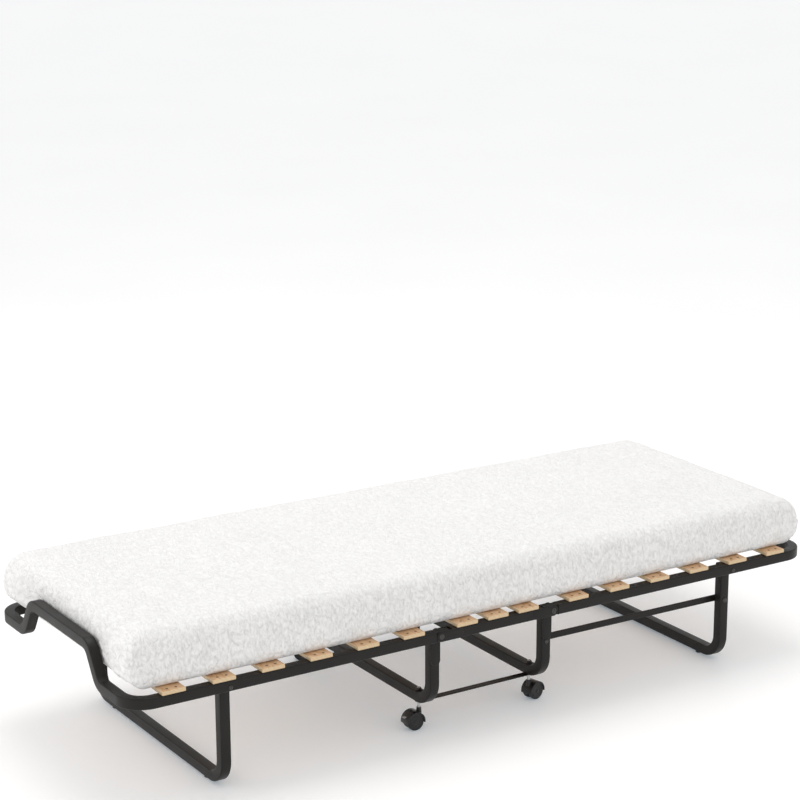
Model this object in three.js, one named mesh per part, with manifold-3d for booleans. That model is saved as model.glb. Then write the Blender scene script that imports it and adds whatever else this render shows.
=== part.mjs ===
// A folding guest bed on casters: a fixed centre section, two long sections that fold up,
// slats, a foam mattress, two end legs that swing in as the bed folds, and four casters.
// Millimetres, +Z up. X runs along the bed and Y across it. The origin is on the floor under
// the centre. The bed repeats itself under a half turn about Z, so one half is built by a
// function and placed twice.

import * as THREE from 'three';
import { mergeVertices } from 'three/addons/utils/BufferGeometryUtils.js';
import Module from 'manifold-3d';

const wasm = await Module();
wasm.setup();

// ---- driving dimensions ----
const HALF_LENGTH = 1050; // outer face of the end bar
const HALF_WIDTH = 395; // outer face of the side rails
const TUBE = 28; // square tube, outside
const WALL = 2.1;
const CORNER = 3; // chamfer of the tube's edges
const GAP = 0.3; // clearance between touching pieces
const WELD = 0.5; // how far a welded piece sinks into the next one
const PAST = 5; // how far a cutting tool runs past the face that it cuts

const PIVOT_X = 174.5; // fold pivots
const PIVOT_Z = 286;
const FRAME_BEND = 58; // bend radius of the section frame, on the tube's centre line
const END_RISE = 88; // how far the end bar's middle stands above its ends
const RISE_START = 243; // half width of the end bar where it starts to rise
const RISE_ANGLE = THREE.MathUtils.degToRad(58);
const RISE_BEND = 40;

const SLAT_WIDTH = 63;
const SLAT_THICK = 10;
const SLAT_FIRST = 256; // the long section's slat nearest the fold
const SLAT_STEP = 134.8;
const SLAT_STEP_CENTRE = 95.3;
const SLATS_PER_SECTION = 6;

const LEG_Y = 349.5; // centre line of every leg's upright
const LEG_BEND = 55;
const CENTRE_BAR_Z = 91; // bottom bar of the centre legs
const CENTRE_LEG_TOP = 262;
const END_BAR_Z = 20.8; // bottom bar of the end legs

const SWING_X = PIVOT_X + 605; // the end leg's pivot on the section rail
const SWING_Z = 282;
const SWING_TOP = 8; // end leg's tube above its pivot
const LINK_DROP = 96; // tie bar's bolts below the pivots
const LINK_HEIGHT = 18;
const LINK_THICK = 4;
const SLOT_LENGTH = 8.6; // how far the end-leg bolt travels in the tie bar
const SLOT_SLACK = 2.1; // half of its play across the bar

const CHEEK = 2.3; // hinge plates of the centre rail
const CHEEK_LAP = 20; // how far they reach back over its tube
const CENTRE_RAIL_END = PIVOT_X - 33; // where the centre rail's tube stops
const SHOULDER = PIVOT_X + 15; // where the section rail's full tube starts
const TONGUE_WIDTH = TUBE - 2 * CHEEK - 1; // the section rail's end, between the hinge plates
const TONGUE_REACH = 29; // how far it runs past the pivot
const TONGUE_LAP = 30; // how far it reaches back inside its tube
const LUG_LAP = 50; // how far the centre leg's lug reaches down its tube

// bolts, by their shaft and head radii
const FOLD_BOLT = 4;
const FOLD_HEAD = 7.5;
const LEG_BOLT = 3;
const LEG_HEAD = 6;
const SLOT_HEAD = 7.4;
const HEAD_HEIGHT = 3;
const NUT_HEIGHT = 5;

const MATTRESS_THICK = 140;
const MATTRESS_HALF_WIDTH = 375;
const MATTRESS_END = 1022;
const BEND_LENGTH = 116; // between the mattress's two bend lines
const OUTER_START = 852; // the end block that stays on its section
const SLIP = 100; // room for the mattress to move along the slats

const CASTER_Y = 286;
const WHEEL_RADIUS = 23.5;
const WHEEL_WIDTH = 13;
const CASTER_TRAIL = 17;
const WEB_HALF = 4.6; // the housing's web between the two wheels
const HOOD_INNER = WHEEL_RADIUS + 1;
const HOOD_OUTER = HOOD_INNER + 2.4;
const HOOD_DROP = 0.16; // how far the hood's edges reach below the axle, in radians
const AXLE_RADIUS = 3;
const STEM_RADIUS = 4.5;
const BOSS_RADIUS = 6.5;
const BOSS_TOP = 58;
const STEM_NUT = 7.5; // radius
const STEM_NUT_HEIGHT = 6.5;
const STEM_END = 2.5; // stem above its nut
const LEVER_PIN = [CASTER_TRAIL + 15, WHEEL_RADIUS + 13.5]; // in X and Z
const LEVER_TIP = CASTER_TRAIL + HOOD_OUTER + 3;
const LEVER_THICK = 4; // at its pin
const LEVER_EDGE = 2.4; // at its tip

const STRAP_THICK = 3; // strap between the near casters, and its twin on the far side
const STRAP_WIDTH = 20;
const GLIDE_RADIUS = 10;
const GLIDE_Y = 262;

// ---- levels worked out from them ----
const HALF_TUBE = TUBE / 2;
const RAIL_Y = HALF_WIDTH - HALF_TUBE;
const RAIL_TOP = PIVOT_Z + HALF_TUBE;
const SLAT_BOTTOM = RAIL_TOP + GAP;
const MATTRESS_BOTTOM = SLAT_BOTTOM + SLAT_THICK + GAP;
const LEG_FACE = LEG_Y + HALF_TUBE; // outer face of the uprights
const RAIL_INNER = HALF_WIDTH - TUBE;
const BAR_BOTTOM = CENTRE_BAR_Z - HALF_TUBE;
const STRAP_TOP = BAR_BOTTOM - GAP;
const LINK_FACE = LEG_Y - HALF_TUBE - GAP; // the tie bar lies against the uprights' inner faces
const GLIDE_TOP = END_BAR_Z - HALF_TUBE - GAP;

// ---- materials ----
function finish(color, roughness, metalness) {
  return () => new THREE.MeshStandardMaterial({ color, roughness, metalness });
}
const blackPaint = finish(0x2b2b2a, 0.5, 0.35);
const zincBlack = finish(0x1f1f1f, 0.4, 0.7);
const birch = finish(0xdcb98a, 0.6, 0);
const knit = finish(0xf1efec, 0.95, 0);
const blackPlastic = finish(0x161616, 0.45, 0);
const wheelPlastic = finish(0x202020, 0.6, 0);
const greyPlastic = finish(0x8f8f8d, 0.5, 0);

// ---- solids ----
function solid(geometry) {
  const plain = geometry.index ? geometry.toNonIndexed() : geometry.clone();
  plain.deleteAttribute('normal');
  plain.deleteAttribute('uv');
  const merged = mergeVertices(plain, 1e-3);
  const vertProperties = new Float32Array(merged.attributes.position.array);
  const triVerts = new Uint32Array(merged.index.array);
  return new wasm.Manifold(new wasm.Mesh({ numProp: 3, vertProperties, triVerts }));
}

function geometryOf(body) {
  const cut = body.getMesh();
  const geometry = new THREE.BufferGeometry();
  geometry.setAttribute('position', new THREE.BufferAttribute(new Float32Array(cut.vertProperties), 3));
  geometry.setIndex([...cut.triVerts]);
  geometry.computeVertexNormals();
  return geometry;
}

function put(group, name, body, material) {
  const mesh = new THREE.Mesh(geometryOf(body), material());
  mesh.name = name;
  group.add(mesh);
  return mesh;
}

function joined(bodies) {
  return bodies.reduce((sum, body) => sum.add(body));
}

function cutBy(body, tools) {
  return tools.reduce((rest, tool) => rest.subtract(tool), body);
}

// a box from its lowest and highest corners
function box(low, high) {
  const size = high.map((value, axis) => value - low[axis]);
  const geometry = new THREE.BoxGeometry(...size);
  return solid(geometry.translate(...low.map((value, axis) => value + size[axis] / 2)));
}

// a round bar along Y
function barY(x, z, radius, yLow, yHigh, sides = 12) {
  const geometry = new THREE.CylinderGeometry(radius, radius, yHigh - yLow, sides);
  return solid(geometry.translate(x, (yLow + yHigh) / 2, z));
}

// a round bar along Z
function barZ(x, y, radius, zLow, zHigh, sides = 12) {
  const geometry = new THREE.CylinderGeometry(radius, radius, zHigh - zLow, sides);
  geometry.rotateX(Math.PI / 2);
  return solid(geometry.translate(x, y, (zLow + zHigh) / 2));
}

// a flat plate cut from a shape drawn in X and Z, between two Y levels
function plateXZ(shape, yLow, yHigh, curveSegments = 4) {
  const depth = yHigh - yLow;
  const geometry = new THREE.ExtrudeGeometry(shape, { depth, bevelEnabled: false, curveSegments });
  geometry.rotateX(Math.PI / 2);
  return solid(geometry.translate(0, yHigh, 0));
}

// a flat plate cut from a shape drawn in X and Y, between two Z levels
function plateXY(shape, zLow, zHigh, curveSegments = 5) {
  const depth = zHigh - zLow;
  const geometry = new THREE.ExtrudeGeometry(shape, { depth, bevelEnabled: false, curveSegments });
  return solid(geometry.translate(0, 0, zLow));
}

// a bar with round ends, from one centre to another
function stadium(x0, z0, x1, z1, radius) {
  const angle = Math.atan2(z1 - z0, x1 - x0);
  const shape = new THREE.Shape();
  shape.absarc(x0, z0, radius, angle + Math.PI / 2, angle + Math.PI * 1.5, false);
  shape.absarc(x1, z1, radius, angle - Math.PI / 2, angle + Math.PI / 2, false);
  return shape;
}

// a bolt along Y: a domed head outside at yHead, a nut at the other end
function bolt(x, z, radius, yHead, yNut, headRadius) {
  const side = Math.sign(yHead - yNut);
  const length = Math.abs(yHead - yNut);
  const profile = [
    [0, 0],
    [headRadius * 0.8, 0],
    [headRadius, 1.8],
    [headRadius, HEAD_HEIGHT],
    [radius, HEAD_HEIGHT],
    [radius, HEAD_HEIGHT + length],
    [headRadius * 0.92, HEAD_HEIGHT + length],
    [headRadius * 0.92, HEAD_HEIGHT + length + NUT_HEIGHT],
    [0, HEAD_HEIGHT + length + NUT_HEIGHT],
  ].map(([r, y]) => new THREE.Vector2(r, y));
  const geometry = new THREE.LatheGeometry(profile, 12);
  if (side > 0) {
    geometry.rotateX(Math.PI);
  }
  return solid(geometry.translate(x, yHead + side * HEAD_HEIGHT, z));
}

// ---- tube ----
// A path given by stations, so that straight runs need no extra steps.
class Stations extends THREE.Curve {
  constructor(points, tangents) {
    super();
    this.points = points;
    this.tangents = tangents;
  }
  getPointAt(u, target = new THREE.Vector3()) {
    return target.copy(this.points[Math.round(u * (this.points.length - 1))]);
  }
  getTangentAt(u, target = new THREE.Vector3()) {
    return target.copy(this.tangents[Math.round(u * (this.points.length - 1))]);
  }
}

// straight runs between corners, each corner an arc of its own radius
function tubePath(corners, steps) {
  const points = [corners[0].at.clone()];
  const tangents = [corners[1].at.clone().sub(corners[0].at).normalize()];
  for (let i = 1; i < corners.length - 1; i += 1) {
    const into = corners[i].at.clone().sub(corners[i - 1].at).normalize();
    const away = corners[i + 1].at.clone().sub(corners[i].at).normalize();
    const turn = into.angleTo(away);
    const reach = corners[i].radius * Math.tan(turn / 2);
    const inward = away.clone().addScaledVector(into, -into.dot(away)).normalize();
    const start = corners[i].at.clone().addScaledVector(into, -reach);
    const centre = start.clone().addScaledVector(inward, corners[i].radius);
    const count = Math.max(2, Math.ceil((steps * turn) / (Math.PI / 2)));
    for (let k = 0; k <= count; k += 1) {
      const angle = (turn * k) / count;
      const point = centre.clone().addScaledVector(inward, -corners[i].radius * Math.cos(angle));
      point.addScaledVector(into, corners[i].radius * Math.sin(angle));
      const tangent = into.clone().multiplyScalar(Math.cos(angle)).addScaledVector(inward, Math.sin(angle));
      points.push(point);
      tangents.push(tangent);
    }
  }
  const last = corners.length - 1;
  points.push(corners[last].at.clone());
  tangents.push(corners[last].at.clone().sub(corners[last - 1].at).normalize());
  return new Stations(points, tangents);
}

// the tube's outside, with chamfered edges
function outerRing() {
  const edge = HALF_TUBE - CORNER;
  const ring = new THREE.Shape();
  ring.moveTo(HALF_TUBE, -edge);
  ring.lineTo(HALF_TUBE, edge);
  ring.lineTo(edge, HALF_TUBE);
  ring.lineTo(-edge, HALF_TUBE);
  ring.lineTo(-HALF_TUBE, edge);
  ring.lineTo(-HALF_TUBE, -edge);
  ring.lineTo(-edge, -HALF_TUBE);
  ring.lineTo(edge, -HALF_TUBE);
  ring.closePath();
  return ring;
}

// the tube's inside, a plain square
function innerRing() {
  const edge = HALF_TUBE - WALL;
  const ring = new THREE.Path();
  ring.moveTo(edge, -edge);
  ring.lineTo(edge, edge);
  ring.lineTo(-edge, edge);
  ring.lineTo(-edge, -edge);
  ring.closePath();
  return ring;
}

function tube(corners, steps = 5) {
  const path = tubePath(corners, steps);
  const section = outerRing();
  section.holes.push(innerRing());
  return solid(new THREE.ExtrudeGeometry(section, {
    steps: path.points.length - 1,
    extrudePath: path,
    bevelEnabled: false,
  }));
}

function corner(x, y, z, radius = 0) {
  return { at: new THREE.Vector3(x, y, z), radius };
}

// ---- centre section ----
function slat(x) {
  return box(
    [x - SLAT_WIDTH / 2, -HALF_WIDTH, SLAT_BOTTOM],
    [x + SLAT_WIDTH / 2, HALF_WIDTH, SLAT_BOTTOM + SLAT_THICK],
  );
}

// the near rail: square tube with two hinge plates at each end
function centreRail() {
  const parts = [tube([corner(-CENTRE_RAIL_END, -RAIL_Y, PIVOT_Z), corner(CENTRE_RAIL_END, -RAIL_Y, PIVOT_Z)])];
  for (const end of [-1, 1]) {
    const lap = end * (CENTRE_RAIL_END - CHEEK_LAP);
    const shape = stadium(lap, PIVOT_Z, end * PIVOT_X, PIVOT_Z, HALF_TUBE - 0.05);
    parts.push(plateXZ(shape, -HALF_WIDTH, -HALF_WIDTH + CHEEK));
    parts.push(plateXZ(shape, -RAIL_INNER - CHEEK, -RAIL_INNER));
  }
  const faces = [-HALF_WIDTH - PAST, -RAIL_INNER + PAST];
  const holes = [-1, 1].map((end) => barY(end * PIVOT_X, PIVOT_Z, FOLD_BOLT + GAP, ...faces));
  return cutBy(joined(parts), holes);
}

// U-shaped tube with a lug on each upright that carries the fold bolt
function centreLeg() {
  const bent = tube([
    corner(PIVOT_X, -LEG_Y, CENTRE_LEG_TOP),
    corner(PIVOT_X, -LEG_Y, CENTRE_BAR_Z, LEG_BEND),
    corner(PIVOT_X, LEG_Y, CENTRE_BAR_Z, LEG_BEND),
    corner(PIVOT_X, LEG_Y, CENTRE_LEG_TOP),
  ]);
  const lug = stadium(PIVOT_X, CENTRE_LEG_TOP - LUG_LAP, PIVOT_X, PIVOT_Z, HALF_TUBE);
  const lugs = [-1, 1].map((side) => {
    const faces = [side * (RAIL_INNER - GAP), side * (LEG_FACE - WELD)].sort((a, b) => a - b);
    return plateXZ(lug, ...faces);
  });
  const barFaces = [BAR_BOTTOM - PAST, BAR_BOTTOM + TUBE + PAST];
  const cuts = [
    barY(PIVOT_X, PIVOT_Z, FOLD_BOLT + GAP, -HALF_WIDTH, HALF_WIDTH),
    barY(PIVOT_X, PIVOT_Z - LINK_DROP, LEG_BOLT + GAP, -HALF_WIDTH, -LEG_Y + TUBE),
    barZ(PIVOT_X, -CASTER_Y, STEM_RADIUS + GAP, ...barFaces),
    barZ(PIVOT_X, CASTER_Y, STEM_RADIUS + GAP, ...barFaces),
  ];
  return cutBy(joined([bent, ...lugs]), cuts);
}

// flat strap under both leg bars, held by the two near caster stems
function legStrap() {
  const half = STRAP_WIDTH / 2;
  const shape = new THREE.Shape();
  shape.absarc(-PIVOT_X, -CASTER_Y, half, Math.PI / 2, Math.PI * 1.5, false);
  shape.absarc(PIVOT_X, -CASTER_Y, half, -Math.PI / 2, Math.PI / 2, false);
  for (const end of [-1, 1]) {
    const hole = new THREE.Path();
    hole.absarc(end * PIVOT_X, -CASTER_Y, STEM_RADIUS + GAP, 0, Math.PI * 2, true);
    shape.holes.push(hole);
  }
  return plateXY(shape, STRAP_TOP - STRAP_THICK, STRAP_TOP);
}

// ---- long section ----
function sectionFrame() {
  const end = HALF_LENGTH - HALF_TUBE;
  const run = END_RISE / Math.tan(RISE_ANGLE);
  const foot = RISE_START - RISE_BEND * Math.tan(RISE_ANGLE / 2);
  const bent = tube([
    corner(SHOULDER, -RAIL_Y, PIVOT_Z),
    corner(end, -RAIL_Y, PIVOT_Z, FRAME_BEND),
    corner(end, -foot, PIVOT_Z, RISE_BEND),
    corner(end, -foot + run, PIVOT_Z + END_RISE, RISE_BEND),
    corner(end, foot - run, PIVOT_Z + END_RISE, RISE_BEND),
    corner(end, foot, PIVOT_Z, RISE_BEND),
    corner(end, RAIL_Y, PIVOT_Z, FRAME_BEND),
    corner(SHOULDER, RAIL_Y, PIVOT_Z),
  ]);
  const parts = [bent];
  const holes = [];
  for (const side of [-1, 1]) {
    const y = side * RAIL_Y;
    parts.push(box(
      [PIVOT_X - TONGUE_REACH, y - TONGUE_WIDTH / 2, PIVOT_Z - HALF_TUBE + 0.2],
      [SHOULDER + TONGUE_LAP, y + TONGUE_WIDTH / 2, PIVOT_Z + HALF_TUBE - 0.2],
    ));
    holes.push(barY(PIVOT_X, PIVOT_Z, FOLD_BOLT + GAP, y - TUBE, y + TUBE));
    holes.push(barY(SWING_X, SWING_Z, LEG_BOLT + GAP, y - TUBE, y + TUBE));
  }
  return cutBy(joined(parts), holes);
}

// U-shaped tube that hangs from the section rails
function endLeg() {
  const bent = tube([
    corner(SWING_X, -LEG_Y, SWING_Z + SWING_TOP),
    corner(SWING_X, -LEG_Y, END_BAR_Z, LEG_BEND),
    corner(SWING_X, LEG_Y, END_BAR_Z, LEG_BEND),
    corner(SWING_X, LEG_Y, SWING_Z + SWING_TOP),
  ]);
  const holes = [
    barY(SWING_X, SWING_Z, LEG_BOLT + GAP, -HALF_WIDTH, HALF_WIDTH),
    barY(SWING_X, SWING_Z - LINK_DROP, LEG_BOLT + GAP, -HALF_WIDTH, -LEG_Y + TUBE),
  ];
  return cutBy(bent, holes);
}

// tie bar with a round hole on the centre leg and a slot on the end leg's bolt
function tieBar() {
  const start = [PIVOT_X, PIVOT_Z - LINK_DROP];
  const finish = [SWING_X, SWING_Z - LINK_DROP];
  const slotEnd = finish[0] + SLOT_LENGTH;
  const slotZ = finish[1] + SLOT_SLACK;
  const outline = stadium(...start, slotEnd, finish[1], LINK_HEIGHT / 2);
  const bar = plateXZ(outline, -LINK_FACE, -LINK_FACE + LINK_THICK);
  const slot = stadium(finish[0], slotZ, slotEnd, slotZ, LEG_BOLT + GAP + SLOT_SLACK);
  const faces = [-LINK_FACE - PAST, -LINK_FACE + LINK_THICK + PAST];
  return cutBy(bar, [barY(...start, LEG_BOLT + GAP, ...faces), plateXZ(slot, ...faces, 6)]);
}

// floor glide under the end leg: a short button, wider at the floor
function glide(y) {
  const profile = [
    [0, 0],
    [GLIDE_RADIUS - 1, 0],
    [GLIDE_RADIUS, 1],
    [GLIDE_RADIUS - 1.5, GLIDE_TOP],
    [0, GLIDE_TOP],
  ].map(([r, z]) => new THREE.Vector2(r, z));
  const geometry = new THREE.LatheGeometry(profile, 16);
  geometry.rotateX(Math.PI / 2);
  return solid(geometry.translate(SWING_X, y, 0));
}

// ---- mattress ----
// Each fold has two bend lines at the height of the mattress's underside, and each turns half
// of the fold. The faces beside a bend line lean back by a quarter of the fold.
const LEAN = Math.tan(Math.PI / 8);
const RIDE_HEIGHT = MATTRESS_BOTTOM - PIVOT_Z;
const BEND_INNER = PIVOT_X - RIDE_HEIGHT - BEND_LENGTH * Math.SQRT1_2;
const BEND_OUTER = BEND_INNER + BEND_LENGTH;
const BEND_THICK = MATTRESS_THICK - 22;

function mattressBlock(lowLeft, highLeft, highRight, lowRight, thick) {
  const shape = new THREE.Shape();
  shape.moveTo(lowLeft, MATTRESS_BOTTOM);
  shape.lineTo(lowRight, MATTRESS_BOTTOM);
  shape.lineTo(highRight, MATTRESS_BOTTOM + thick);
  shape.lineTo(highLeft, MATTRESS_BOTTOM + thick);
  shape.closePath();
  return plateXZ(shape, -MATTRESS_HALF_WIDTH, MATTRESS_HALF_WIDTH);
}

// ---- caster ----
// Drawn with the stem on Z at the origin and the axle along Y, at x = trail.
function casterHousing(braked) {
  const x = CASTER_TRAIL;
  const z = WHEEL_RADIUS;
  const outer = WEB_HALF + WHEEL_WIDTH;
  const from = -HOOD_DROP;
  const to = Math.PI + HOOD_DROP;
  const rim = new THREE.Shape();
  rim.absarc(x, z, HOOD_OUTER, from, to, false);
  rim.absarc(x, z, HOOD_INNER, to, from, true);
  const rib = new THREE.Shape();
  rib.absarc(x, z, HOOD_OUTER - 0.6, from + 0.05, to - 0.05, false);
  const web = barY(x, z, WHEEL_RADIUS - 6, -WEB_HALF, WEB_HALF, 16);
  const hood = plateXZ(rim, -outer, outer, 9);
  const bridge = plateXZ(rib, -WEB_HALF, WEB_HALF, 9);
  const nutBottom = BAR_BOTTOM + TUBE + GAP;
  const boss = barZ(0, 0, BOSS_RADIUS, (WHEEL_RADIUS + BOSS_TOP) / 2, BOSS_TOP);
  const wheelRooms = [-1, 1].map((side) => {
    const faces = [side * WEB_HALF, side * (outer + 2)].sort((low, high) => low - high);
    return barY(x, z, HOOD_INNER, ...faces, 36);
  });
  const cast = cutBy(joined([web, bridge, boss]), wheelRooms);
  const nutTop = nutBottom + STEM_NUT_HEIGHT;
  const stem = barZ(0, 0, STEM_RADIUS, BOSS_TOP - 3, nutTop + STEM_END);
  const nut = barZ(0, 0, STEM_NUT, nutBottom, nutTop, 6);
  const cuts = [barY(x, z, AXLE_RADIUS + GAP, -WEB_HALF - 1, WEB_HALF + 1)];
  if (braked) {
    const [pinX, pinZ] = LEVER_PIN;
    const room = [LEVER_THICK * 0.75, LEVER_THICK * 1.25]; // behind the lever, and above and below it
    cuts.push(box(
      [pinX - room[0], -WEB_HALF - GAP, pinZ - room[1]],
      [LEVER_TIP + PAST, WEB_HALF + GAP, pinZ + room[1]],
    ));
  }
  return cutBy(joined([hood, cast, stem, nut]), cuts);
}

// two wheels on one axle, turned as one piece
function casterWheels() {
  const inner = WEB_HALF + 0.5;
  const outer = WEB_HALF + WHEEL_WIDTH;
  const r = WHEEL_RADIUS;
  const half = [
    [AXLE_RADIUS, inner],
    [r - 1.5, inner],
    [r, inner + 1.5],
    [r, outer - 2.5],
    [r - 2.5, outer],
    [r - 5, outer],
    [r - 7, outer - 1.5],
  ];
  const profile = [[0, 1.5 - outer]];
  profile.push(...half.map(([radius, y]) => [radius, -y]).reverse());
  profile.push(...half);
  profile.push([0, outer - 1.5]);
  const geometry = new THREE.LatheGeometry(profile.map(([radius, y]) => new THREE.Vector2(radius, y)), 24);
  return solid(geometry.translate(CASTER_TRAIL, 0, WHEEL_RADIUS));
}

// brake lever: a pedal in a pocket of the housing, hinged along Y
function brakeLever() {
  const [pinX, pinZ] = LEVER_PIN;
  const shape = new THREE.Shape();
  shape.absarc(pinX, pinZ, LEVER_THICK / 2, Math.PI / 2, Math.PI * 1.5, false);
  shape.lineTo(LEVER_TIP, pinZ - LEVER_EDGE / 2);
  shape.lineTo(LEVER_TIP, pinZ + LEVER_EDGE / 2);
  shape.closePath();
  return plateXZ(shape, -WEB_HALF + GAP, WEB_HALF - GAP);
}

function buildCaster(name, x, y, swivel, braked) {
  const group = new THREE.Group();
  group.position.set(x, y, 0);
  group.rotation.z = swivel;
  put(group, `caster_housing_${name}`, casterHousing(braked), blackPlastic);
  put(group, `caster_wheels_${name}`, casterWheels(), wheelPlastic);
  if (braked) {
    put(group, `brake_lever_${name}`, brakeLever(), greyPlastic);
  }
  return group;
}

// ---- one half of the bed, drawn at +X ----
function buildHalf(label, nearName, farName, casterTurns, braked) {
  const half = new THREE.Group();
  put(half, `centre_rail_${nearName}`, centreRail(), blackPaint);
  put(half, `centre_leg_${label}`, centreLeg(), blackPaint);
  put(half, `leg_strap_${nearName}`, legStrap(), blackPaint);

  const sides = [[-1, nearName], [1, farName]];
  for (const [side, sideName] of sides) {
    const head = side * (HALF_WIDTH + GAP);
    const nutFace = side * (LEG_FACE - WELD - GAP);
    const foldBolt = bolt(PIVOT_X, PIVOT_Z, FOLD_BOLT, head, nutFace, FOLD_HEAD);
    put(half, `fold_bolt_${label}_${sideName}`, foldBolt, zincBlack);
    const swingNut = side * (LEG_Y - HALF_TUBE - GAP);
    const swingBolt = bolt(SWING_X, SWING_Z, LEG_BOLT, head, swingNut, LEG_HEAD);
    put(half, `leg_pivot_bolt_${label}_${sideName}`, swingBolt, zincBlack);
    put(half, `glide_${label}_${sideName}`, glide(side * GLIDE_Y), blackPlastic);
  }

  const linkHead = -LEG_FACE - GAP;
  const linkNut = -LINK_FACE + LINK_THICK + GAP;
  const innerBolt = bolt(PIVOT_X, PIVOT_Z - LINK_DROP, LEG_BOLT, linkHead, linkNut, LEG_HEAD);
  const outerBolt = bolt(SWING_X, SWING_Z - LINK_DROP, LEG_BOLT, linkHead, linkNut, SLOT_HEAD);
  put(half, `tie_bolt_inner_${label}`, innerBolt, zincBlack);
  put(half, `tie_bolt_outer_${label}`, outerBolt, zincBlack);
  put(half, `tie_bar_${label}`, tieBar(), blackPaint);

  put(half, `section_frame_${label}`, sectionFrame(), blackPaint);
  put(half, `end_leg_${label}`, endLeg(), blackPaint);
  for (let i = 0; i < SLATS_PER_SECTION; i += 1) {
    put(half, `slat_${label}_${i + 1}`, slat(SLAT_FIRST + i * SLAT_STEP), birch);
  }

  const lean = MATTRESS_THICK * LEAN;
  const bendLean = BEND_THICK * LEAN;
  put(half, `mattress_bend_${label}`, mattressBlock(
    BEND_INNER + GAP, BEND_INNER + GAP + bendLean, BEND_OUTER - GAP - bendLean, BEND_OUTER - GAP, BEND_THICK,
  ), knit);
  const innerEnd = OUTER_START - SLIP;
  put(half, `mattress_long_${label}`, mattressBlock(
    BEND_OUTER + GAP, BEND_OUTER + GAP + lean, innerEnd, innerEnd, MATTRESS_THICK,
  ), knit);
  put(half, `mattress_end_${label}`, mattressBlock(
    OUTER_START, OUTER_START, MATTRESS_END, MATTRESS_END, MATTRESS_THICK,
  ), knit);

  half.add(buildCaster(`${label}_${nearName}`, PIVOT_X, -CASTER_Y, casterTurns[0], braked));
  half.add(buildCaster(`${label}_${farName}`, PIVOT_X, CASTER_Y, casterTurns[1], braked));
  return half;
}

// ---- the bed ----
const bed = new THREE.Group();
const turn = THREE.MathUtils.degToRad;
const right = buildHalf('right', 'near', 'far', [turn(12.5), turn(55)], false);
const left = buildHalf('left', 'far', 'near', [turn(-35), turn(-2)], true);
left.rotation.z = Math.PI;
bed.add(right, left);
for (let i = -1; i <= 1; i += 1) {
  put(bed, `slat_centre_${i + 2}`, slat(i * SLAT_STEP_CENTRE), birch);
}
const topHalf = BEND_INNER - GAP - MATTRESS_THICK * LEAN;
put(bed, 'mattress_centre', mattressBlock(
  -(BEND_INNER - GAP), -topHalf, topHalf, BEND_INNER - GAP, MATTRESS_THICK,
), knit);

export default bed;
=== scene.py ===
import math

import bmesh
import bpy
import numpy as np
from mathutils import Matrix, Vector, noise


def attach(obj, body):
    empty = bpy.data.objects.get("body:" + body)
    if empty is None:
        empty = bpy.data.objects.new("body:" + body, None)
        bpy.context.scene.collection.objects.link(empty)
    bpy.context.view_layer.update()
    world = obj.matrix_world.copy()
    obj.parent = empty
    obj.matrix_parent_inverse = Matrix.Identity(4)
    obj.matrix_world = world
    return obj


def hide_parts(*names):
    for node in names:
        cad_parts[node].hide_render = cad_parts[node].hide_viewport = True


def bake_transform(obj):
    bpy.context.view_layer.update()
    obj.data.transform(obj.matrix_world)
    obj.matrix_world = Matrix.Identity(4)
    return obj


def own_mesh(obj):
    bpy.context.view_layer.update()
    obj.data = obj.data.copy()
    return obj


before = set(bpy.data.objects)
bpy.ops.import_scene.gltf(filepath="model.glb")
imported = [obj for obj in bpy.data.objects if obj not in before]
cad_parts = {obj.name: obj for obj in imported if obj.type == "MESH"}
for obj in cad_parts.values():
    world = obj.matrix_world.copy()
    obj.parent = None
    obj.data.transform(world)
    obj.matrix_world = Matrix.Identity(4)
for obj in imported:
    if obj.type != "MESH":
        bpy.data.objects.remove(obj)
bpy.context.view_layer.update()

MM = 0.001

# ---- sizes, in millimetres, as in the CAD model ----
HALF_LENGTH = 1050
HALF_WIDTH = 395
TUBE = 28
HALF_TUBE = TUBE / 2
TUBE_CORNER = 3.2
TUBE_WALL = 2.1
BORE_DEPTH = 22  # how far the open ends are hollow
GAP = 0.3
RAIL_Y = HALF_WIDTH - HALF_TUBE
RAIL_INNER = HALF_WIDTH - TUBE
PIVOT_X, PIVOT_Z = 174.5, 286
SHOULDER = PIVOT_X + 15  # where the section tube starts
CHEEK = 2.3  # hinge plates of the centre rail
PIN_HOLE, TIE_HOLE = 4.3, 3.3
RAIL_CUT = 33  # the centre rail's tube stops this far before the pivot
FRAME_BEND = 58
END_RISE, RISE_START, RISE_BEND = 88, 243, 40
RISE_ANGLE = math.radians(58)
LEG_Y, LEG_BEND = 349.5, 55
PROUD = 0.25  # hinge plates stand this far out from the rail's faces
LEG_FACE = LEG_Y + HALF_TUBE
CENTRE_BAR_Z, CENTRE_LEG_TOP = 91, 262
END_BAR_Z = 20.8
SWING_X, SWING_Z, SWING_TOP = PIVOT_X + 605, 282, 8
LINK_DROP, LINK_HEIGHT, LINK_THICK = 96, 18, 4
LINK_FACE = LEG_Y - HALF_TUBE - GAP
SLOT_LENGTH, SLOT_SLACK = 8.6, 2.1
STRAP_WIDTH, STRAP_THICK = 20, 3
BAR_BOTTOM = CENTRE_BAR_Z - HALF_TUBE
STRAP_TOP = BAR_BOTTOM - GAP
CASTER_Y, CASTER_TRAIL, WHEEL_RADIUS = 286, 17, 23.5
WHEEL_WIDTH, WEB_HALF = 13, 4.6
STEM_HOLE = 4.8
GLIDE_Y = 262
PLUG_HALF = 10.6
SLAT_WIDTH, SLAT_THICK = 63, 10
SLAT_BOTTOM = PIVOT_Z + HALF_TUBE + GAP
SLAT_TOP = SLAT_BOTTOM + SLAT_THICK
SLAT_FIRST, SLAT_STEP, SLAT_STEP_CENTRE = 256, 134.8, 95.3
SLATS_PER_SECTION = 6
NAIL_OFFSET = 12
PLY = 1.43  # one ply of a slat

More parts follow.
